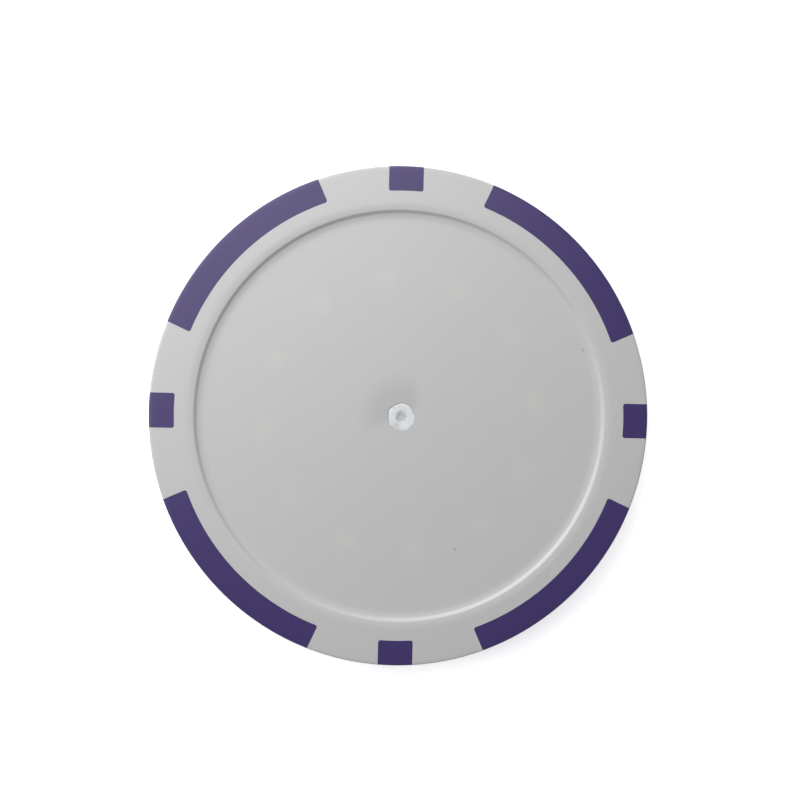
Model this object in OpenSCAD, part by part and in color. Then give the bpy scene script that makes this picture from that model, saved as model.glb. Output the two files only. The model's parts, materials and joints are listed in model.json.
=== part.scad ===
// Weighted poker chip: a moulded disc with coloured edge inserts and a steel weight inside.
// The chip lies flat: the axis is Z and the underside of the rim is at Z = 0.

/* [Chip] */
// Diameter over the rim
chip_d = 39; // [37:0.5:45]
// Thickness over the rim
chip_h = 3.3; // [3:0.1:4.5]
// Rounding of the two outer edges
edge_r = 0.25; // [0.2:0.05:0.8]

/* [Label recess] */
// Width of the rim around the recess, the same on both faces
rim_w = 3.55; // [3.2:0.05:4.5]
// Depth of the recess below the rim
recess_depth = 0.35; // [0.25:0.05:0.5]
// Width of the rolled lip between the rim and the recess wall
lip_w = 0.7; // [0.3:0.1:0.9]
// Height that the lip loses over its width
lip_drop = 0.07; // [0.03:0.01:0.1]
// Fillet at the foot of the recess wall
foot_r = 0.1; // [0.04:0.02:0.14]

/* [Edge inserts] */
// Angle that a long insert spans, halfway along its sides
long_angle = 49; // [35:1:60]
// Angle between the two sides of a long insert
long_side_angle = 41; // [30:1:50]
// Width of a short insert
short_w = 2.7; // [2:0.05:4]
// Radial depth of both kinds of insert
insert_depth = 1.95; // [1.5:0.05:2.5]
// Radius of the inner corners of the inserts
insert_corner_r = 0.2; // [0.1:0.05:0.4]

/* [Insert keys] */
// Radial length of the neck of the key that locks an insert into the body
key_neck_len = 0.35; // [0.2:0.05:0.5]
// Thickness of the neck
key_neck_h = 0.8; // [0.5:0.1:1.2]
// Radial length of the head of the key
key_head_len = 0.4; // [0.3:0.05:0.5]
// Thickness of the head
key_head_h = 1.4; // [1.3:0.1:1.8]
// Distance that the key keeps from the sides of its insert
key_inset = 0.4; // [0.2:0.1:0.7]

/* [Steel weight] */
// Distance from the recess wall in to the edge of the weight
weight_inset = 0.8; // [0.4:0.1:3]
// Thickness of plastic over each face of the weight
skin_h = 0.45; // [0.4:0.05:0.7]
// Number of holes through the weight
weight_holes = 12; // [6:1:16]
// Diameter of these holes
weight_hole_d = 2; // [1.4:0.1:3]
// Distance from the edge of the weight in to the middle of the holes
weight_hole_inset = 4.45; // [2.5:0.05:6]
// Turn of the weight against the inserts, in degrees
weight_turn = 7.3; // [0:0.1:30]

/* [Moulding gate] */
// Diameter of the scar that the broken gate leaves
gate_d = 2.1; // [1.5:0.1:3]
// Diameter of the torn pit in the scar
gate_pit_d = 0.8; // [0.4:0.1:1.2]
// Depth of this pit
gate_pit_depth = 0.15; // [0.05:0.05:0.25]
// Distance that the scar stays below the recess floor, so that a label lies flat
gate_drop = 0.02; // [0.01:0.01:0.03]
// Width of the shallow well all round the scar
well_margin = 0.1; // [0.05:0.05:1]
// Depth of the well
well_depth = 0.05; // [0.04:0.01:0.1]

/* [Fits] */
// Gap left all round a piece that another is moulded over
mould_gap = 0.02; // [0.01:0.01:0.05]

/* [Hidden] */
$fn = 96;
// Long inserts on the chip, and as many short ones between them
insert_pairs = 4;
insert_pitch = 360 / insert_pairs;
// Overrun of a cut past the face that it starts from
overrun = 1;

white = "#c4c4c3";
purple = "#43386a";
steel = "#9fa3a6";

chip_r = chip_d / 2;
mid_h = chip_h / 2;
recess_r = chip_r - rim_w;
floor_h = chip_h - recess_depth;
lip_roll_r = (lip_w * lip_w + lip_drop * lip_drop) / (2 * lip_drop);
insert_r = chip_r - insert_depth;
insert_mid_r = chip_r - insert_depth / 2;
key_neck_r = insert_r - key_neck_len;
key_head_r = key_neck_r - key_head_len;
weight_r = recess_r - weight_inset;
weight_h = chip_h - 2 * (recess_depth + skin_h);
weight_hole_ring_r = weight_r - weight_hole_inset;
weight_hole_pitch = 360 / weight_holes;
gate_top_h = floor_h - gate_drop;
well_r = gate_d / 2 + well_margin;

insert_numbers = [1 : insert_pairs];
long_names = [for (number = insert_numbers) str("long_insert_", number)];
short_names = [for (number = insert_numbers) str("short_insert_", number)];

// Half section of the chip before its recesses, with both outer edges rounded
module blank_section() {
    flat_r = chip_r - edge_r;
    square([flat_r, chip_h]);
    translate([0, edge_r]) square([chip_r, chip_h - 2 * edge_r]);
    for (height = [edge_r, chip_h - edge_r]) {
        translate([flat_r, height]) circle(edge_r);
    }
}

// Half section of what the upper recess takes away: floor, filleted wall and rolled lip
module recess_section() {
    translate([0, floor_h]) {
        square([recess_r - foot_r, recess_depth + overrun]);
        translate([0, foot_r]) square([recess_r, recess_depth + overrun]);
        translate([recess_r - foot_r, foot_r]) circle(foot_r);
    }
    translate([recess_r, chip_h]) difference() {
        translate([0, -lip_drop]) square([lip_w, lip_drop + overrun]);
        translate([lip_w, -lip_roll_r]) circle(lip_roll_r);
    }
}

// The chip without recesses
module blank() {
    rotate_extrude() blank_section();
}

// The chip with a recess in each face
module dished_blank() {
    rotate_extrude() difference() {
        blank_section();
        recess_section();
        translate([0, chip_h]) mirror([0, 1]) recess_section();
    }
}

// Ring in plan
module ring_plan(inner_r, outer_r) {
    difference() {
        circle(outer_r);
        circle(inner_r);
    }
}

// Angle of a side of an insert against the middle line of that insert
function side_angle(is_long) = is_long ? long_side_angle / 2 : 0;

// Distance from the middle of the chip to the line through a side of an insert
function side_distance(is_long) = is_long ? insert_mid_r * sin((long_angle - long_side_angle) / 2) : short_w / 2;

// Area in plan between the sides of an insert that points along X, each side moved out by grow
module sides_plan(is_long, grow) {
    angle = side_angle(is_long);
    start = insert_r / 2;
    reach = chip_r + overrun;
    start_w = (side_distance(is_long) + grow + start * sin(angle)) / cos(angle);
    reach_w = (side_distance(is_long) + grow + reach * sin(angle)) / cos(angle);
    polygon([[start, -start_w], [reach, -reach_w], [reach, reach_w], [start, start_w]]);
}

// Angle, seen from the middle of the chip, of the centre of an insert's rounded inner corner
function corner_angle(is_long) = side_angle(is_long)
    + asin((side_distance(is_long) - insert_corner_r) / (insert_r + insert_corner_r));

// Puts a shape at the centre of each of the two rounded inner corners of an insert
module at_corners(is_long) {
    turn = corner_angle(is_long);
    for (flip = [0, 1]) mirror([0, flip]) {
        translate((insert_r + insert_corner_r) * [cos(turn), sin(turn)]) children();
    }
}

// Outline in plan of an insert, with its rounded inner corners, grown all round for its pocket
module insert_plan(is_long, grow) {
    turn = corner_angle(is_long);
    angle = side_angle(is_long);
    to_side = [-sin(angle), cos(angle)];
    to_middle = -[cos(turn), sin(turn)];
    reach = 2 * insert_corner_r + grow;
    difference() {
        intersection() {
            ring_plan(insert_r - grow, chip_r + overrun);
            sides_plan(is_long, grow);
        }
        at_corners(is_long) {
            polygon([[0, 0], reach * to_side, reach * (to_side + to_middle), reach * to_middle]);
        }
    }
    at_corners(is_long) circle(insert_corner_r + grow);
}

// One step of the key behind an insert, centred in the thickness of the chip
module key_step(is_long, inner_r, outer_r, height, grow) {
    translate([0, 0, mid_h - height / 2 - grow]) linear_extrude(height + 2 * grow) intersection() {
        ring_plan(inner_r - grow, outer_r + grow);
        sides_plan(is_long, grow - key_inset);
    }
}

// The T-shaped key that reaches into the body behind an insert
module insert_key(is_long, grow) {
    key_step(is_long, key_neck_r, insert_r + insert_corner_r, key_neck_h, grow);
    key_step(is_long, key_head_r, key_neck_r, key_head_h, grow);
}

// An insert that points along X
module edge_insert(is_long) {
    color(purple) {
        intersection() {
            blank();
            linear_extrude(chip_h) insert_plan(is_long, 0);
        }
        insert_key(is_long, 0);
    }
}

// Room for that insert in the body
module insert_pocket(is_long) {
    translate([0, 0, -overrun]) linear_extrude(chip_h + 2 * overrun) insert_plan(is_long, mould_gap);
    insert_key(is_long, mould_gap);
}

// Direction of an insert: short ones lie on the X and Y axes, long ones halfway between
function insert_turn(is_long, number) = (number - 1) * insert_pitch + (is_long ? insert_pitch / 2 : 0);

// Steel disc with its holes, grown all round for its cavity
module weight_form(grow) {
    rotate(weight_turn) translate([0, 0, mid_h - weight_h / 2 - grow]) difference() {
        cylinder(r = weight_r + grow, h = weight_h + 2 * grow);
        for (index = [1 : weight_holes]) {
            rotate(index * weight_hole_pitch) translate([weight_hole_ring_r, 0, -overrun]) {
                cylinder(d = weight_hole_d - 2 * grow, h = weight_h + 2 * overrun);
            }
        }
    }
}

// Shallow well in the upper recess floor, round the gate
module gate_well() {
    translate([0, 0, floor_h - well_depth]) cylinder(r = well_r, h = well_depth + overrun);
}

// Stub of the broken gate, which stands in the well
module gate_scar() {
    translate([0, 0, mid_h]) cylinder(d = gate_d, h = gate_top_h - mid_h);
}

// Torn pit in the gate stub
module gate_pit() {
    translate([0, 0, gate_top_h - gate_pit_depth]) {
        cylinder(d1 = 0, d2 = gate_pit_d, h = gate_pit_depth);
    }
}

// White moulding over the weight and the inserts
module body() {
    color(white) difference() {
        union() {
            difference() {
                dished_blank();
                gate_well();
            }
            gate_scar();
        }
        gate_pit();
        weight_form(mould_gap);
        for (is_long = [true, false]) {
            for (number = insert_numbers) {
                rotate(insert_turn(is_long, number)) insert_pocket(is_long);
            }
        }
    }
}

// Punched steel disc that gives the chip its weight
module weight_slug() {
    color(steel) weight_form(0);
}

// Insert that spans most of a gap between two short ones
module long_insert(number) {
    rotate(insert_turn(true, number)) edge_insert(true);
}

// Narrow insert
module short_insert(number) {
    rotate(insert_turn(false, number)) edge_insert(false);
}

body();
weight_slug();
for (number = insert_numbers) {
    long_insert(number);
    short_insert(number);
}
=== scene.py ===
# %% [markdown]
# # A blank poker chip
#
# The chip is a pale ABS disc with a shallow round recess for a label on each face. Eight purple inserts
# are moulded into its edge, four long and four short, and a steel disc inside gives it its weight. The
# frame below brings in the solids at their real size. This lesson remodels what shows, because a moulded
# edge is soft where a plain solid is crisp, and then gives every piece its finish.

# %% Load the solids
import json
import math

import bmesh
import bpy
from mathutils import Matrix, Quaternion, Vector


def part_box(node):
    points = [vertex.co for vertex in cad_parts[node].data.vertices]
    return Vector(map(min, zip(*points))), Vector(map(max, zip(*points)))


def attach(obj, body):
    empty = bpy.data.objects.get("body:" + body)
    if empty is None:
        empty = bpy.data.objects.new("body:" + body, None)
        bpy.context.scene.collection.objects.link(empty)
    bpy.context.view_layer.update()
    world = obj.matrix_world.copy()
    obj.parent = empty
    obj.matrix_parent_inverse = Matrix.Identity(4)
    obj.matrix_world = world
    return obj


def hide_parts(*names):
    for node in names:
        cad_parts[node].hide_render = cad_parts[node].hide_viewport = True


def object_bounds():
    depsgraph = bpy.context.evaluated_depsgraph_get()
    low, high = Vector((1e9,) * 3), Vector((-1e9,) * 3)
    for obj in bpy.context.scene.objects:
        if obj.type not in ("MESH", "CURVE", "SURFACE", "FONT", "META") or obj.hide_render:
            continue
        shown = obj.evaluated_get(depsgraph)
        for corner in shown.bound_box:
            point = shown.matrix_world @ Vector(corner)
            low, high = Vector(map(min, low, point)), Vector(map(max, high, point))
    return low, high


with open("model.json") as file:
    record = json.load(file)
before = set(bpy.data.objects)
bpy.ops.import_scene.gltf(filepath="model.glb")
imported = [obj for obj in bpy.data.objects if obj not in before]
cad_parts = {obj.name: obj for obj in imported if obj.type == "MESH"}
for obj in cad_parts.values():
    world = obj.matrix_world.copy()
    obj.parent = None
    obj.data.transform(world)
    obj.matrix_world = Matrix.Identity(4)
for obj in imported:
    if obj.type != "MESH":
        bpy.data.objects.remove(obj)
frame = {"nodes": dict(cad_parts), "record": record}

cad_low, cad_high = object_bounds()
record = frame["record"]
print("solids:", ", ".join(sorted(frame["nodes"])))
print("box of the solids:", tuple(cad_low), tuple(cad_high))

# %% [markdown]
# ## Sizes
#
# Everything on a chip is small, and some of Blender's operators stop being exact near a hundredth of a
# millimetre when the scene is in metres. So the pieces are drawn a thousand times larger, with one unit
# for a millimetre, and brought to metres when they are done. Sizes that the solids hold are read from
# them. The rest are measured on the chip.

# %% Sizes in millimetres
MM = 0.001
mounts = {mount["name"]: mount for mount in record["mounts"]}
chip_r = cad_high.x / MM
chip_h = cad_high.z / MM
recess_r = mounts["upper_label_recess"]["dims"]["r_mm"]
floor_z = mounts["upper_label_seat"]["pos_m"][2] / MM
recess_depth = chip_h - floor_z
short_low, short_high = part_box("short_insert_1")
short_w = (short_high.y - short_low.y) / MM
insert_depth = 1.95
insert_r = chip_r - insert_depth
insert_corner_r = 0.2
long_angle = math.radians(49)
long_side_angle = math.radians(41)
insert_pairs = 4
insert_pitch = math.tau / insert_pairs
print(f"chip {2 * chip_r:.2f} mm wide and {chip_h:.2f} mm thick")
print(f"recess {2 * recess_r:.2f} mm wide and {recess_depth:.2f} mm deep")

# %% [markdown]
# ## Camera
#
# The chip was photographed from close above: its left side looks a little larger than its right, so the
# lens was some ten centimetres away and a few degrees to the left. The camera stands on that line of sight
# and is rolled a little, because the chip lies slightly turned in the picture. Its target is moved off the
# middle of the upper face as far as that sits off the middle of the picture.

# %% Camera
image_width_px = 801
px_per_mm = 12.83
chip_middle_px = (400.3, 415.2)
camera_distance = 0.105
camera_lean = math.radians(3.4)
camera_roll = math.radians(1.37)

metres_per_px = MM / px_per_mm
image_middle_px = (image_width_px - 1) / 2
right = Vector((math.cos(camera_roll), math.sin(camera_roll), 0))
up = Vector((-math.sin(camera_roll), math.cos(camera_roll), 0))
target = Vector((0, 0, chip_h * MM))
target += right * (image_middle_px - chip_middle_px[0]) * metres_per_px
target += up * (chip_middle_px[1] - image_middle_px) * metres_per_px
back = Vector((0, 0, 1)) * math.cos(camera_lean) - right * math.sin(camera_lean)
turn = Matrix((up.cross(back), up, back)).transposed()

bpy.ops.object.select_all(action="DESELECT")
bpy.ops.object.camera_add(location=target + back * camera_distance, rotation=turn.to_euler())
camera = bpy.context.active_object
camera.name = "photo_camera"
camera.data.lens = camera.data.sensor_width * camera_distance / (image_width_px * metres_per_px)
camera.data.clip_start = camera_distance / 10
bpy.context.scene.camera = camera
print(f"lens {camera.data.lens:.0f} mm, {camera_distance} m away")

# %% [markdown]
# ## The profile of the chip
#
# Cut a chip through the middle and one half of the cut is its profile: the label floor, the step up to
# the rim, the rounded edge, and the same again underneath. The step isn't a sharp corner. The floor rises
# slowly, then bends into a sloping wall, and at the top a lip runs out into a long soft roll. Each bend is
# an arc that turns the line from one tilt to another, so a radius and two tilts describe it. The rim also
# falls away a little before its outer corner. Tilts are in degrees.

# %% Bends
def spread(start, end, steps):
    """Evenly spaced values after start, up to and with end."""
    return [start + (end - start) * (step + 1) / steps for step in range(steps)]


def bend(start, bend_r, tilts, steps):
    """Stations along an arc from a (radius, height) point, which turns the line from one tilt to another."""
    first, last = (math.radians(tilt) for tilt in tilts)
    side = 1 if last > first else -1
    stations = []
    for tilt in spread(first, last, steps):
        run = side * bend_r * (math.sin(tilt) - math.sin(first))
        rise = side * bend_r * (math.cos(first) - math.cos(tilt))
        stations.append((start[0] + run, start[1] + rise))
    return stations


def moved(stations, run, rise):
    """The same stations in another place."""
    return [(radius + run, height + rise) for radius, height in stations]


# %% The step from the floor to the rim
foot_tilt = 13
wall_tilt = 48
roll_tilt = 10
foot_r = 2.6
wall_foot_r = 0.12
lip_r = 0.12
roll_r = 3.8
soft_steps = 8
tight_steps = 6

foot = bend((0, 0), foot_r, (0, foot_tilt), soft_steps)
foot += bend(foot[-1], wall_foot_r, (foot_tilt, wall_tilt), tight_steps)
lip = bend((0, 0), lip_r, (wall_tilt, roll_tilt), tight_steps)
lip += bend(lip[-1], roll_r, (roll_tilt, 0), soft_steps)
wall_rise = recess_depth - foot[-1][1] - lip[-1][1]
wall_run = wall_rise / math.tan(math.radians(wall_tilt))
wall_base_r = recess_r - wall_run / 2
foot = moved([(0, 0)] + foot, wall_base_r - foot[-1][0], floor_z)
lip = moved([(0, 0)] + lip, wall_base_r + wall_run, chip_h - lip[-1][1])
print(f"wall {wall_rise:.2f} mm high, roll ends {lip[-1][0]:.2f} mm from the middle")

# %% The outer corner
crown_tilt = -4
crown_r = 4.3
corner_r = 0.15
side_tilt = -90
crown_steps = 4
corner_steps = 8

corner = bend((0, 0), crown_r, (0, crown_tilt), crown_steps)
corner += bend(corner[-1], corner_r, (crown_tilt, side_tilt), corner_steps)
corner = moved([(0, 0)] + corner, chip_r - corner[-1][0], chip_h)
print(f"rim is flat for {corner[0][0] - lip[-1][0]:.2f} mm")

# %% [markdown]
# ## Spinning the blank
#
# A round thing is quickest drawn as half a profile and spun. The profile starts as one vertex: a plane
# merged to a point. Extruding that point from station to station draws the line, and the Spin operator
# sweeps the line round the axis. The stations lie close together where the profile bends and far apart
# where it is flat. Spin leaves doubles at its seam and at the two poles, so they are merged, and the
# normals are made to point outwards after that.

# %% All stations
upper_face = [(0, floor_z)] + foot + lip + corner
lower_face = [(radius, chip_h - height) for radius, height in upper_face]
profile = upper_face + lower_face[::-1]
print(len(profile), "stations")

# %% The blank
spin_steps = 256
merge_distance = 0.0005


def spin_profile(name, stations):
    """A closed solid: the line through (radius, height) stations, spun round Z."""
    bpy.ops.object.select_all(action="DESELECT")
    bpy.ops.mesh.primitive_plane_add(size=1)
    piece = bpy.context.active_object
    piece.name = name
    bpy.ops.object.mode_set(mode="EDIT")
    bpy.ops.mesh.select_mode(type="VERT")
    bpy.ops.mesh.select_all(action="SELECT")
    bpy.ops.mesh.merge(type="CENTER")
    points = [Vector((radius, 0, height)) for radius, height in stations]
    bpy.ops.transform.translate(value=points[0])
    for before, after in zip(points, points[1:]):
        bpy.ops.mesh.extrude_region_move(TRANSFORM_OT_translate={"value": after - before})
    bpy.ops.mesh.select_all(action="SELECT")
    bpy.ops.mesh.spin(steps=spin_steps, angle=math.tau, center=(0, 0, 0), axis=(0, 0, 1))
    bpy.ops.mesh.select_all(action="SELECT")
    bpy.ops.mesh.remove_doubles(threshold=merge_distance)
    bpy.ops.mesh.normals_make_consistent(inside=False)
    bpy.ops.object.mode_set(mode="OBJECT")
    return piece


blank = spin_profile("blank", profile)
print("blank has", len(blank.data.polygons), "faces")

# %% [markdown]
# ## Cutters for the inserts
#
# An insert keeps the profile of the chip, so it is easiest cut out of the blank. The cutter is a block
# with the insert's plan. A short insert has parallel sides and a long one has sides that splay, but both
# end on the same circle inside. So both start as one slice of a ring, spun from a rectangle, and two bisect
# cuts give the sides. A bevel rounds the two inner corners. The pocket in the body is cut with the same
# block, grown by a hair, so that no face of the body lies in a face of an insert.

# %% One cutter along X
overrun = 1
slice_spare = math.radians(10)
slice_angle = long_angle + slice_spare
slice_steps = 64
corner_segments = 6
mould_gap = 0.002
insert_mid_r = chip_r - insert_depth / 2
long_side_distance = insert_mid_r * math.sin((long_angle - long_side_angle) / 2)


def insert_cutter(name, is_long, grow):
    """A block that points along X, with the plan of an insert, grown all round, and more than its height."""
    inner_r = insert_r - grow
    reach = chip_r + overrun - inner_r
    bpy.ops.object.select_all(action="DESELECT")
    bpy.ops.mesh.primitive_plane_add(size=1)
    cutter = bpy.context.active_object
    cutter.name = name
    bpy.ops.object.mode_set(mode="EDIT")
    bpy.ops.mesh.select_all(action="SELECT")
    bpy.ops.transform.rotate(value=math.pi / 2, orient_axis="X", center_override=(0, 0, 0))
    bpy.ops.transform.resize(value=(reach, 1, chip_h + 2 * overrun), center_override=(0, 0, 0))
    bpy.ops.transform.translate(value=(inner_r + reach / 2, 0, chip_h / 2))
    bpy.ops.mesh.spin(steps=slice_steps, angle=slice_angle, center=(0, 0, 0), axis=(0, 0, 1))
    bpy.ops.mesh.select_all(action="SELECT")
    bpy.ops.transform.rotate(value=-slice_angle / 2, orient_axis="Z", center_override=(0, 0, 0))
    bpy.ops.mesh.normals_make_consistent(inside=False)
    side_angle = long_side_angle / 2 if is_long else 0
    side_distance = long_side_distance if is_long else short_w / 2
    for side in (-1, 1):
        normal = Vector((-math.sin(side_angle), side * math.cos(side_angle), 0))
        place = normal * (side_distance + grow)
        bpy.ops.mesh.select_all(action="SELECT")
        bpy.ops.mesh.bisect(plane_co=place, plane_no=normal, use_fill=True, clear_outer=True)
    select_inner_corners(cutter, inner_r)
    bpy.ops.mesh.bevel(offset=insert_corner_r + grow, segments=corner_segments, affect="EDGES")
    bpy.ops.object.mode_set(mode="OBJECT")
    return cutter


def select_inner_corners(cutter, inner_r):
    """Selects the two upright edges where the sides of a cutter meet its inner end."""
    bpy.ops.mesh.select_mode(type="EDGE")
    bpy.ops.mesh.select_all(action="DESELECT")
    mesh = bmesh.from_edit_mesh(cutter.data)
    inner_verts = [vert for vert in mesh.verts if vert.co.xy.length < inner_r + merge_distance]
    half_width = max(vert.co.y for vert in inner_verts)
    for edge in mesh.edges:
        edge.select = all(
            vert in inner_verts and abs(vert.co.y) > half_width - merge_distance for vert in edge.verts
        )
    bmesh.update_edit_mesh(cutter.data)


long_cutter = insert_cutter("long_cutter", True, 0)
short_cutter = insert_cutter("short_cutter", False, 0)
for cutter in (long_cutter, short_cutter):
    print(cutter.name, "is", [round(length, 2) for length in cutter.dimensions], "mm")

# %% [markdown]
# ## Inserts
#
# On the real chip the purple inserts are moulded first and set in the mould, and the white plastic is shot
# round them. So their outer faces lie flush with the chip. An insert here is what the cutter and the blank
# have in common, which makes it flush without measuring. One of each kind is made and then copied round
# the axis, each copy with its own mesh.

# %% Copies and booleans
def select_only(piece):
    """Makes one object the only selected one, and the active one."""
    bpy.ops.object.select_all(action="DESELECT")
    piece.select_set(True)
    bpy.context.view_layer.objects.active = piece


def turned_copy(piece, name, angle):
    """A copy with its own mesh, turned round the chip's axis."""
    select_only(piece)
    bpy.ops.object.duplicate()
    copy = bpy.context.active_object
    copy.name = name
    copy.rotation_euler.z = angle
    bpy.ops.object.transform_apply(location=False, rotation=True, scale=False)
    return copy


def combine(piece, tool, operation):
    """Joins a tool to a piece, cuts it away or keeps what they share, and deletes the tool."""
    select_only(piece)
    modifier = piece.modifiers.new(operation.lower(), "BOOLEAN")
    modifier.operation = operation
    modifier.object = tool
    modifier.solver = "EXACT"
    modifier.material_mode = "TRANSFER"
    bpy.ops.object.modifier_apply(modifier=modifier.name)
    bpy.data.objects.remove(tool)


# %% Inserts round the edge
long_pattern = turned_copy(blank, "long_pattern", 0)
combine(long_pattern, long_cutter, "INTERSECT")
short_pattern = turned_copy(blank, "short_pattern", 0)
combine(short_pattern, short_cutter, "INTERSECT")

long_inserts = []
short_inserts = []
for index in range(insert_pairs):
    number = index + 1
    short_turn = index * insert_pitch
    long_turn = short_turn + insert_pitch / 2
    short_inserts.append(turned_copy(short_pattern, f"short_edge_insert_{number}", short_turn))
    long_inserts.append(turned_copy(long_pattern, f"long_edge_insert_{number}", long_turn))
bpy.data.objects.remove(long_pattern)
bpy.data.objects.remove(short_pattern)
print("inserts:", ", ".join(piece.name for piece in long_inserts + short_inserts))

# %% [markdown]
# ## Body
#
# The white body is the blank with a pocket for each insert. The pockets are cut with the same two blocks,
# a hair larger. Inside, the body leaves room for the steel disc. The plastic also fills the holes through
# that disc, so the room is a flat drum less a ring of posts. Nobody sees it on the finished chip, but the
# mesh of the body is then the true moulding.

# %% Pockets
body = turned_copy(blank, "chip_body", 0)
bpy.data.objects.remove(blank)
pocket_tools = {
    0: insert_cutter("short_pocket", False, mould_gap),
    insert_pitch / 2: insert_cutter("long_pocket", True, mould_gap),
}
for first_turn, tool in pocket_tools.items():
    for index in range(insert_pairs):
        combine(body, turned_copy(tool, "pocket", first_turn + index * insert_pitch), "DIFFERENCE")
    bpy.data.objects.remove(tool)
print("body with pockets has", len(body.data.polygons), "faces")

# %% Room for the steel disc
weight_low, weight_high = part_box("weight_slug")
weight_r = weight_high.x / MM
weight_floor = weight_low.z / MM - mould_gap
weight_roof = weight_high.z / MM + mould_gap
post_count = 12
post_sides = 48
post_r = 1
post_ring_inset = 4.45
post_ring_r = weight_r - post_ring_inset
post_turn = math.radians(7.3)
post_pitch = math.tau / post_count

room_r = weight_r + mould_gap
room_stations = [(0, weight_roof), (room_r, weight_roof), (room_r, weight_floor), (0, weight_floor)]
room = spin_profile("room", room_stations)
for index in range(post_count):
    angle = post_turn + index * post_pitch
    place = (post_ring_r * math.cos(angle), post_ring_r * math.sin(angle), chip_h / 2)
    bpy.ops.object.select_all(action="DESELECT")
    bpy.ops.mesh.primitive_cylinder_add(
        vertices=post_sides, radius=post_r - mould_gap, depth=chip_h, location=place
    )
    combine(room, bpy.context.active_object, "DIFFERENCE")
combine(body, room, "DIFFERENCE")
print("body with its room has", len(body.data.polygons), "faces")

# %% [markdown]
# ## Gate scar
#
# The white plastic was shot in through a small hole near the middle of the upper face. The stub that it
# leaves is broken off, and what stays is a torn white ring with a little pit. It stands in a shallow well,
# low enough that a label lies flat over it. Both start as one filled circle whose corners are pushed in and
# out one by one, because a torn edge isn't round. The ring is then inset and pressed down for the pit, which
# is drawn in at one end. At last it is cut finer, shaken a little and smoothed with a subdivision surface.

# %% A torn disc
gate_place = Vector((0.12, -0.13, 0))
gate_r = 1.1
gate_outline_shares = [0.97, 0.9, 0.97, 1.02, 1, 1.07, 0.97, 1.03, 0.99, 1.01, 1, 1]
gate_corner_pitch = math.tau / len(gate_outline_shares)


def torn_disc(name, grow, low, high):
    """A disc with the gate's outline, grown all round, in edit mode with its upper face selected."""
    bpy.ops.object.select_all(action="DESELECT")
    bpy.ops.mesh.primitive_circle_add(
        vertices=len(gate_outline_shares), radius=gate_r + grow, fill_type="NGON", location=(0, 0, low)
    )
    disc = bpy.context.active_object
    disc.name = name
    bpy.ops.object.transform_apply(location=True)
    bpy.ops.object.mode_set(mode="EDIT")
    bpy.ops.mesh.select_mode(type="VERT")
    for index in range(len(gate_outline_shares)):
        bpy.ops.mesh.select_all(action="DESELECT")
        mesh = bmesh.from_edit_mesh(disc.data)
        mesh.verts.ensure_lookup_table()
        corner = mesh.verts[index]
        corner.select = True
        mesh.select_flush_mode()
        share = gate_outline_shares[round(math.atan2(corner.co.y, corner.co.x) / gate_corner_pitch)]
        bpy.ops.transform.resize(value=(share, share, 1), center_override=(0, 0, low))
    bpy.ops.mesh.select_mode(type="FACE")
    bpy.ops.mesh.select_all(action="SELECT")
    bpy.ops.transform.translate(value=gate_place)
    bpy.ops.mesh.extrude_region_move(TRANSFORM_OT_translate={"value": (0, 0, high - low)})
    return disc


# %% The well
well_margin = 0.05
well_depth = 0.05

well = torn_disc("gate_well", well_margin, floor_z - well_depth, floor_z + overrun)
bpy.ops.mesh.select_all(action="SELECT")
bpy.ops.mesh.normals_make_consistent(inside=False)
bpy.ops.object.mode_set(mode="OBJECT")
print("well is", [round(length, 2) for length in well.dimensions[:2]], "mm wide")
combine(body, well, "DIFFERENCE")

# %% The torn stub
gate_drop = 0.012
gate_root_depth = 0.2
gate_shoulder_w = 0.08
gate_shoulder_h = 0.03
gate_ring_w = 0.5
gate_pit_slope = 0.34
gate_pit_depth = 0.12
gate_pit_shift = Vector((-0.08, 0.05, 0))
gate_pit_taper_share = 0.5
tear_offset = 0.012
tear_seed = 7
tear_cuts = 2
softening_levels = 1

scar = torn_disc("gate_scar", 0, floor_z - gate_root_depth, floor_z - gate_drop - gate_shoulder_h)
bpy.ops.mesh.inset(thickness=gate_shoulder_w, depth=gate_shoulder_h)
bpy.ops.mesh.inset(thickness=gate_ring_w, depth=0)
bpy.ops.transform.translate(value=gate_pit_shift)
bpy.ops.mesh.inset(thickness=gate_pit_slope, depth=-gate_pit_depth)
bpy.ops.mesh.select_mode(type="VERT")
bpy.ops.mesh.select_all(action="DESELECT")
mesh = bmesh.from_edit_mesh(scar.data)
pit_place = gate_place + gate_pit_shift
for vert in mesh.verts:
    from_pit = vert.co - pit_place
    vert.select = from_pit.xy.length < gate_r - gate_ring_w and from_pit.y > merge_distance
mesh.select_flush_mode()
bpy.ops.transform.resize(value=(gate_pit_taper_share, 1, 1), center_override=pit_place)
bpy.ops.mesh.select_all(action="SELECT")
bpy.ops.mesh.normals_make_consistent(inside=False)
bpy.ops.mesh.subdivide(number_cuts=tear_cuts)
bpy.ops.mesh.select_mode(type="VERT")
bpy.ops.mesh.select_all(action="DESELECT")
mesh = bmesh.from_edit_mesh(scar.data)
for vert in mesh.verts:
    vert.select = vert.co.z > floor_z - well_depth
mesh.select_flush_mode()
bpy.ops.transform.vertex_random(offset=tear_offset, seed=tear_seed)
bpy.ops.object.mode_set(mode="OBJECT")
softening = scar.modifiers.new("softening", "SUBSURF")
softening.levels = softening_levels
softening.render_levels = softening_levels
bpy.ops.object.modifier_apply(modifier=softening.name)
print("scar is", [round(length, 2) for length in scar.dimensions], "mm")

# %% One with the body
white_abs = bpy.data.materials.new("moulded_white_abs")
torn_abs = bpy.data.materials.new("torn_white_abs")
body.data.materials.clear()
body.data.materials.append(white_abs)
scar.data.materials.append(torn_abs)
combine(body, scar, "UNION")
torn_faces = [face for face in body.data.polygons if body.data.materials[face.material_index] == torn_abs]
print(len(torn_faces), "torn faces on the body")
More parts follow.
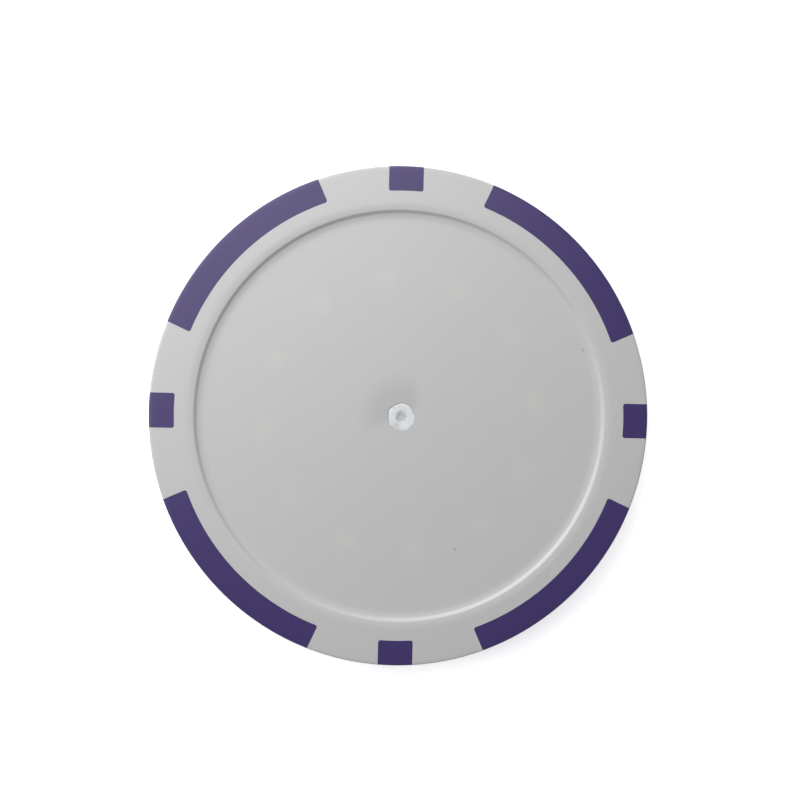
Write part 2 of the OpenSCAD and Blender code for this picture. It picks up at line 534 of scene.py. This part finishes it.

# %% [markdown]
# ## To metres and into the frame
#
# The pieces are done, so they are scaled to metres and the scale is applied: each object then sits at the
# origin with its place in its mesh, as the solids do. Shading is smooth over soft bends and stays sharp at
# an angle of over 30 degrees. Each piece rides on the one body that the chip has and takes the place of
# its solids, which are hidden. The steel disc stays as it is.

# %% Hand the pieces over
smooth_angle = math.radians(30)


def hand_over(piece, slot, *nodes):
    """Brings a piece to metres, smooths it and puts it in place of some solids."""
    select_only(piece)
    piece.scale = (MM, MM, MM)
    bpy.ops.object.transform_apply(location=True, rotation=True, scale=True)
    bpy.ops.object.shade_smooth_by_angle(angle=smooth_angle)
    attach(piece, "root")
    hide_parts(*nodes)


hand_over(body, "white_abs", "body")
for index in range(insert_pairs):
    number = index + 1
    hand_over(long_inserts[index], "purple_abs", f"long_insert_{number}")
    hand_over(short_inserts[index], "purple_abs", f"short_insert_{number}")
print("body is", [round(length / MM, 2) for length in body.dimensions], "mm")

# %% [markdown]
# ## Finishes
#
# A finish is a small graph of nodes. One function adds a node, sets it up and links it, and another turns
# a colour as it is usually written into the linear values that the shader wants. Every pattern reads the
# object's own coordinates in millimetres, so a size in the graph is a size on the chip.

# %% Nodes and colours
def linear(hex_colour):
    """The linear colour, with alpha, of an sRGB colour such as #808080."""
    channels = []
    for start in (1, 3, 5):
        value = int(hex_colour[start:start + 2], 16) / 255
        channels.append(value / 12.92 if value <= 0.04045 else ((value + 0.055) / 1.055) ** 2.4)
    return (*channels, 1)


def add_node(tree, kind, inputs=None, **settings):
    """Adds a node, sets it up, and gives each input a value or a link from another node's output."""
    node = tree.nodes.new(kind)
    for name, value in settings.items():
        setattr(node, name, value)
    for name, value in (inputs or {}).items():
        if isinstance(value, bpy.types.NodeSocket):
            tree.links.new(value, node.inputs[name])
        else:
            node.inputs[name].default_value = value
    return node


def start_finish(material):
    """Empties a material, and gives its node tree and the place on the piece in millimetres."""
    material.use_nodes = True
    tree = material.node_tree
    tree.nodes.clear()
    metres = add_node(tree, "ShaderNodeTexCoord").outputs["Object"]
    millimetres = add_node(tree, "ShaderNodeVectorMath", {0: metres, "Scale": 1 / MM}, operation="SCALE")
    return tree, millimetres.outputs[0]


print("middle grey as linear values:", [round(value, 3) for value in linear("#808080")])

# %% [markdown]
# ## White ABS
#
# The body is injection moulded ABS, filled with white pigment, from a mould that was blasted to a satin. It
# is nearly even in colour. Over the steel the plastic is thin and a little of the dark metal comes through,
# but not over the twelve posts, which show as faint warm spots. Beside the gate a fan of painted shade
# darkens the face. Two flecks of dust lie on the face.

# %% Masks on the face
tree, place = start_finish(white_abs)
flat_place = add_node(tree, "ShaderNodeVectorMath", {0: place, 1: (1, 1, 0)}, operation="MULTIPLY").outputs[0]
radius = add_node(tree, "ShaderNodeVectorMath", {0: flat_place}, operation="LENGTH").outputs["Value"]
axes = add_node(tree, "ShaderNodeSeparateXYZ", {0: place})
angle = add_node(
    tree, "ShaderNodeMath", {0: axes.outputs["Y"], 1: axes.outputs["X"]}, operation="ARCTAN2"
).outputs[0]

# Distance from the nearest of the posts through the steel, folded into one step of their ring
from_post = add_node(tree, "ShaderNodeMath", {0: angle, 1: post_turn}, operation="SUBTRACT").outputs[0]
folded = add_node(
    tree, "ShaderNodeMath", {0: from_post, 1: post_pitch / 2, 2: -post_pitch / 2}, operation="WRAP"
).outputs[0]
along = add_node(tree, "ShaderNodeMath", {0: folded, 1: post_ring_r}, operation="MULTIPLY").outputs[0]
across = add_node(tree, "ShaderNodeMath", {0: radius, 1: post_ring_r}, operation="SUBTRACT").outputs[0]
post_place = add_node(tree, "ShaderNodeCombineXYZ", {"X": along, "Y": across}).outputs[0]
post_gap = add_node(tree, "ShaderNodeVectorMath", {0: post_place}, operation="LENGTH").outputs["Value"]
post_fade = (1.3, 0.2)
post_mask = add_node(
    tree,
    "ShaderNodeMapRange",
    {"Value": post_gap, "From Min": post_fade[0], "From Max": post_fade[1]},
    interpolation_type="SMOOTHSTEP",
).outputs["Result"]

# Painted shade by the gate, a fan on the upper face: above a sloping line, left of another, within a radius
fan_right = (0.8, 1.6)
fan_slope = 0.5
fan_below = (-0.25, 0.4)
fan_reach = (1.6, 3.8)
fan_side = add_node(
    tree,
    "ShaderNodeMapRange",
    {"Value": axes.outputs["X"], "From Min": fan_right[1], "From Max": fan_right[0]},
    interpolation_type="SMOOTHSTEP",
).outputs["Result"]
above_slope = add_node(
    tree,
    "ShaderNodeMath",
    {0: axes.outputs["X"], 1: -fan_slope, 2: axes.outputs["Y"]},
    operation="MULTIPLY_ADD",
).outputs[0]
fan_foot = add_node(
    tree,
    "ShaderNodeMapRange",
    {"Value": above_slope, "From Min": fan_below[0], "From Max": fan_below[1]},
    interpolation_type="SMOOTHSTEP",
).outputs["Result"]
fan_end = add_node(
    tree,
    "ShaderNodeMapRange",
    {"Value": radius, "From Min": fan_reach[1], "From Max": fan_reach[0]},
    interpolation_type="SMOOTHSTEP",
).outputs["Result"]
fan_corner = add_node(tree, "ShaderNodeMath", {0: fan_side, 1: fan_foot}, operation="MULTIPLY").outputs[0]
fan_sector = add_node(tree, "ShaderNodeMath", {0: fan_corner, 1: fan_end}, operation="MULTIPLY").outputs[0]
on_top = add_node(
    tree, "ShaderNodeMath", {0: axes.outputs["Z"], 1: chip_h / 2}, operation="GREATER_THAN"
).outputs[0]
painted_shade_fan_mask = add_node(tree, "ShaderNodeMath", {0: fan_sector, 1: on_top}, operation="MULTIPLY").outputs[0]

# Flecks of dust: two short dashes on the upper face
fleck_places = [(14.29, 5.5, floor_z), (4.53, -10.38, floor_z)]
fleck_turn = math.radians(-55)
fleck_half_size = (0.27, 0.12, recess_depth)
fleck_core_share = 0.2
fleck_mask = 0
for fleck_place in fleck_places:
    from_fleck = add_node(
        tree,
        "ShaderNodeMapping",
        {"Vector": place, "Location": fleck_place, "Rotation": (0, 0, fleck_turn), "Scale": fleck_half_size},
        vector_type="TEXTURE",
    ).outputs[0]
    fleck_gap = add_node(tree, "ShaderNodeVectorMath", {0: from_fleck}, operation="LENGTH").outputs["Value"]
    fleck = add_node(
        tree,
        "ShaderNodeMapRange",
        {"Value": fleck_gap, "From Min": 1, "From Max": fleck_core_share},
        interpolation_type="SMOOTHSTEP",
    ).outputs["Result"]
    fleck_mask = add_node(tree, "ShaderNodeMath", {0: fleck, 1: fleck_mask}, operation="MAXIMUM").outputs[0]
print("masks:", post_count, "posts, the fan by the gate and", len(fleck_places), "flecks")

# %% Colour and gloss
# The grain of a blasted mould is finer than this. It is drawn as coarse as it needs to be to show.
grain_mm = 0.14
grain_depth = 0.02 * MM
mottle_mm = 2.5
white_roughness = (0.32, 0.35)
abs_ior = 1.53
mottle = add_node(
    tree, "ShaderNodeTexNoise", {"Vector": place, "Scale": 1 / mottle_mm, "Detail": 3, "Roughness": 0.6}
).outputs["Fac"]
grain = add_node(
    tree, "ShaderNodeTexNoise", {"Vector": place, "Scale": 1 / grain_mm, "Detail": 2, "Roughness": 0.5}
).outputs["Fac"]
plain = add_node(
    tree,
    "ShaderNodeMix",
    {0: mottle, 6: linear("#bfbebd"), 7: linear("#c1c0bf")},
    data_type="RGBA",
).outputs[2]
with_posts = add_node(
    tree, "ShaderNodeMix", {0: post_mask, 6: plain, 7: linear("#c3c2bf")}, data_type="RGBA"
).outputs[2]
# Painted shade: the face beside the gate is mixed darker in a fan.
with_painted_shade = add_node(
    tree, "ShaderNodeMix", {0: painted_shade_fan_mask, 6: with_posts, 7: linear("#b6b5b4")}, data_type="RGBA"
).outputs[2]
with_flecks = add_node(
    tree, "ShaderNodeMix", {0: fleck_mask, 6: with_painted_shade, 7: linear("#a4a7a5")}, data_type="RGBA"
).outputs[2]
satin = add_node(
    tree, "ShaderNodeMapRange", {"Value": mottle, "To Min": white_roughness[0], "To Max": white_roughness[1]}
).outputs["Result"]
relief = add_node(
    tree, "ShaderNodeBump", {"Height": grain, "Strength": 0.02, "Distance": grain_depth}
).outputs["Normal"]
shader = add_node(
    tree,
    "ShaderNodeBsdfPrincipled",
    {"Base Color": with_flecks, "Roughness": satin, "Normal": relief, "IOR": abs_ior},
)
add_node(tree, "ShaderNodeOutputMaterial", {"Surface": shader.outputs[0]})
print(white_abs.name, "has", len(tree.nodes), "nodes")

# %% [markdown]
# ## Torn ABS
#
# Where the stub broke away the plastic is drawn out and full of tiny cracks, which scatter more light than
# the skin of the moulding. So the ring is whiter than the body, a little cool, and matt. It is patchy, with
# one place where the plastic parted cleanly and stayed grey, and a brown scorch in the pit.

# %% Torn ABS
tree, place = start_finish(torn_abs)
flat_place = add_node(tree, "ShaderNodeVectorMath", {0: place, 1: (1, 1, 0)}, operation="MULTIPLY").outputs[0]
from_gate = add_node(
    tree, "ShaderNodeVectorMath", {0: flat_place, 1: gate_place}, operation="SUBTRACT"
).outputs[0]
pit_gap = add_node(
    tree, "ShaderNodeVectorMath", {0: from_gate, 1: gate_pit_shift}, operation="DISTANCE"
).outputs["Value"]
tear_mm = 0.45
tear_depth = 0.04 * MM
torn_roughness = 0.6
clean_place = (-0.44, -0.62, 0)
clean_reach = (0, 0.45)
pit_reach = (0.1, 0.6)
tear = add_node(
    tree, "ShaderNodeTexNoise", {"Vector": place, "Scale": 1 / tear_mm, "Detail": 3, "Roughness": 0.6}
).outputs["Fac"]
ring_colour = add_node(
    tree, "ShaderNodeMix", {0: tear, 6: linear("#bcc1c4"), 7: linear("#eeefef")}, data_type="RGBA"
).outputs[2]
from_clean = add_node(
    tree, "ShaderNodeVectorMath", {0: from_gate, 1: clean_place}, operation="DISTANCE"
).outputs["Value"]
clean_mask = add_node(
    tree,
    "ShaderNodeMapRange",
    {"Value": from_clean, "From Min": clean_reach[1], "From Max": clean_reach[0]},
    interpolation_type="SMOOTHSTEP",
).outputs["Result"]
patchy_colour = add_node(
    tree, "ShaderNodeMix", {0: clean_mask, 6: ring_colour, 7: linear("#c0c3c4")}, data_type="RGBA"
).outputs[2]
pit_mask = add_node(
    tree,
    "ShaderNodeMapRange",
    {"Value": pit_gap, "From Min": pit_reach[1], "From Max": pit_reach[0]},
    interpolation_type="SMOOTHSTEP",
).outputs["Result"]
torn_colour = add_node(
    tree, "ShaderNodeMix", {0: pit_mask, 6: patchy_colour, 7: linear("#a39f9a")}, data_type="RGBA"
).outputs[2]
torn_relief = add_node(
    tree, "ShaderNodeBump", {"Height": tear, "Strength": 0.3, "Distance": tear_depth}
).outputs["Normal"]
shader = add_node(
    tree,
    "ShaderNodeBsdfPrincipled",
    {"Base Color": torn_colour, "Roughness": torn_roughness, "Normal": torn_relief, "IOR": abs_ior},
)
add_node(tree, "ShaderNodeOutputMaterial", {"Surface": shader.outputs[0]})
print(torn_abs.name, "has", len(tree.nodes), "nodes")

# %% [markdown]
# ## Purple ABS
#
# The inserts are the same plastic with a deep violet dye, which is mixed in unevenly and leans to red in
# some spots and to blue in others. A dark plastic shows the satin of the mould more than a white one, as a
# fine pale grain, and it takes on the light as a soft veil.

# %% Purple ABS
purple_abs = bpy.data.materials.new("moulded_purple_abs")
tree, place = start_finish(purple_abs)
dye_grain = add_node(
    tree, "ShaderNodeTexNoise", {"Vector": place, "Scale": 1 / grain_mm, "Detail": 3, "Roughness": 0.6}
).outputs["Fac"]
dye_mottle_mm = 0.5
purple_roughness = (0.31, 0.36)
dye_mottle = add_node(
    tree, "ShaderNodeTexNoise", {"Vector": place, "Scale": 1 / dye_mottle_mm, "Detail": 4, "Roughness": 0.7}
).outputs["Fac"]
dye = add_node(
    tree,
    "ShaderNodeMix",
    {0: dye_mottle, 6: linear("#43285f"), 7: linear("#34326b")},
    data_type="RGBA",
).outputs[2]
dye_satin = add_node(
    tree,
    "ShaderNodeMapRange",
    {"Value": dye_grain, "To Min": purple_roughness[0], "To Max": purple_roughness[1]},
).outputs["Result"]
dye_relief = add_node(
    tree, "ShaderNodeBump", {"Height": dye_grain, "Strength": 0.1, "Distance": grain_depth}
).outputs["Normal"]
shader = add_node(
    tree,
    "ShaderNodeBsdfPrincipled",
    {"Base Color": dye, "Roughness": dye_satin, "Normal": dye_relief, "IOR": abs_ior},
)
add_node(tree, "ShaderNodeOutputMaterial", {"Surface": shader.outputs[0]})
print(purple_abs.name, "has", len(tree.nodes), "nodes")

# %% [markdown]
# ## Punched steel
#
# The disc inside is punched from cold rolled sheet: grey, a little oily, with fine rolling lines one way.

# %% Punched steel
punched_steel = bpy.data.materials.new("punched_steel")
tree, place = start_finish(punched_steel)
# Rolling lines are finer than this, and are drawn as coarse as they need to be to show.
rolling_line_mm = 0.12
rolling_length_mm = 6
steel_roughness = (0.28, 0.42)
rolling_place = add_node(
    tree,
    "ShaderNodeVectorMath",
    {0: place, 1: (1 / rolling_length_mm, 1 / rolling_line_mm, 1 / rolling_line_mm)},
    operation="MULTIPLY",
).outputs[0]
rolling = add_node(
    tree, "ShaderNodeTexNoise", {"Vector": rolling_place, "Scale": 1, "Detail": 2}
).outputs["Fac"]
steel_colour = add_node(
    tree, "ShaderNodeMix", {0: rolling, 6: linear("#a3a5a7"), 7: linear("#b7b9ba")}, data_type="RGBA"
).outputs[2]
steel_gloss = add_node(
    tree, "ShaderNodeMapRange", {"Value": rolling, "To Min": steel_roughness[0], "To Max": steel_roughness[1]}
).outputs["Result"]
shader = add_node(
    tree,
    "ShaderNodeBsdfPrincipled",
    {"Base Color": steel_colour, "Roughness": steel_gloss, "Metallic": 1},
)
add_node(tree, "ShaderNodeOutputMaterial", {"Surface": shader.outputs[0]})
print(punched_steel.name, "has", len(tree.nodes), "nodes")

# %% Give the pieces their finishes
def paint(piece, finish):
    """Puts one finish on all of a piece."""
    piece.data.materials.clear()
    piece.data.materials.append(finish)


for piece in long_inserts + short_inserts:
    paint(piece, purple_abs)
for slot in frame["nodes"]["weight_slug"].material_slots:
    slot.material = punched_steel
print("finishes:", white_abs.name, torn_abs.name, purple_abs.name, punched_steel.name)

# %% [markdown]
# ## Floor
#
# The chip lies on a plain white surface. The floor is a disc with its border extruded up into a wall and
# the corner between them rounded, so no horizon shows from any side. Its own glow, seen only by the camera
# and in reflections, makes it white without adding light to the chip. The glow is weaker round the chip,
# where the lamp makes up for it, so that the chip keeps its shadow.

# %% Floor
# The floor and the lamp have no fine detail, so their sizes are in metres.
floor_r = 1.2
floor_wall = 0.6
floor_bend = 0.25
floor_drop = 0.05 * MM
floor_sides = 96
floor_bend_segments = 12
bpy.ops.object.select_all(action="DESELECT")
bpy.ops.mesh.primitive_circle_add(
    vertices=floor_sides, radius=floor_r, fill_type="NGON", location=(0, 0, -floor_drop)
)
floor = bpy.context.active_object
floor.name = "floor"
bpy.ops.object.mode_set(mode="EDIT")
bpy.ops.mesh.select_all(action="SELECT")
bpy.ops.mesh.extrude_edges_move(TRANSFORM_OT_translate={"value": (0, 0, floor_wall)})
mesh = bmesh.from_edit_mesh(floor.data)
for border in mesh.edges:
    border.select = all(vert.co.z < floor_wall / 2 for vert in border.verts)
bmesh.update_edit_mesh(floor.data)
bpy.ops.mesh.bevel(offset=floor_bend, segments=floor_bend_segments, affect="EDGES")
bpy.ops.mesh.select_all(action="SELECT")
bpy.ops.mesh.normals_make_consistent(inside=True)
bpy.ops.object.mode_set(mode="OBJECT")
bpy.ops.object.shade_smooth()

paper = bpy.data.materials.new("white_paper")
tree, place = start_finish(paper)
paths = add_node(tree, "ShaderNodeLightPath")
seen = add_node(
    tree,
    "ShaderNodeMath",
    {0: paths.outputs["Is Camera Ray"], 1: paths.outputs["Is Glossy Ray"]},
    operation="MAXIMUM",
).outputs[0]
seen = add_node(
    tree, "ShaderNodeMath", {0: seen, 1: paths.outputs["Is Transmission Ray"]}, operation="MAXIMUM"
).outputs[0]
near_mm = 40
near_glow = 0.65
far_mm = 110
far_glow = 0.86
from_chip = add_node(tree, "ShaderNodeVectorMath", {0: place}, operation="LENGTH").outputs["Value"]
glow = add_node(
    tree,
    "ShaderNodeMapRange",
    {"Value": from_chip, "From Min": near_mm, "From Max": far_mm, "To Min": near_glow, "To Max": far_glow},
    interpolation_type="SMOOTHSTEP",
).outputs["Result"]
seen_glow = add_node(tree, "ShaderNodeMath", {0: seen, 1: glow}, operation="MULTIPLY").outputs[0]
shader = add_node(
    tree,
    "ShaderNodeBsdfPrincipled",
    {
        "Base Color": linear("#f0f0f0"),
        "Roughness": 0.9,
        "Emission Color": (1, 1, 1, 1),
        "Emission Strength": seen_glow,
    },
)
add_node(tree, "ShaderNodeOutputMaterial", {"Surface": shader.outputs[0]})
paint(floor, paper)
print("floor", 2 * floor_r, "m wide")

# %% [markdown]
# ## Light
#
# One large softbox hangs over the upper left of the chip, turned a little in its own plane, and close enough
# that the near side of the chip is brighter than the far side. An even, slightly cool world fills the rest.

# %% Light
softbox_size = 0.2
softbox_distance = 0.12
softbox_azimuth = math.radians(131)
softbox_height = math.radians(39.7)
softbox_twist = math.radians(-21.8)
softbox_power = 0.308
world_level = 0.26

softbox_way = Vector((
    math.cos(softbox_azimuth) * math.cos(softbox_height),
    math.sin(softbox_azimuth) * math.cos(softbox_height),
    math.sin(softbox_height),
))
softbox_turn = softbox_way.to_track_quat("Z", "Y") @ Quaternion((0, 0, 1), softbox_twist)
bpy.ops.object.select_all(action="DESELECT")
bpy.ops.object.light_add(
    type="AREA", location=softbox_way * softbox_distance, rotation=softbox_turn.to_euler()
)
softbox = bpy.context.active_object
softbox.name = "softbox"
softbox.data.shape = "SQUARE"
softbox.data.size = softbox_size
softbox.data.energy = softbox_power
softbox.visible_camera = False

world = bpy.data.worlds.new("grey_room")
bpy.context.scene.world = world
world.use_nodes = True
world.node_tree.nodes.clear()
room_light = add_node(
    world.node_tree, "ShaderNodeBackground", {"Color": linear("#f6f9ff"), "Strength": world_level}
)
add_node(world.node_tree, "ShaderNodeOutputWorld", {"Surface": room_light.outputs[0]})
bpy.context.scene.view_settings.view_transform = "Standard"
print(f"softbox {softbox_power} W at {softbox_distance} m, world {world_level}")
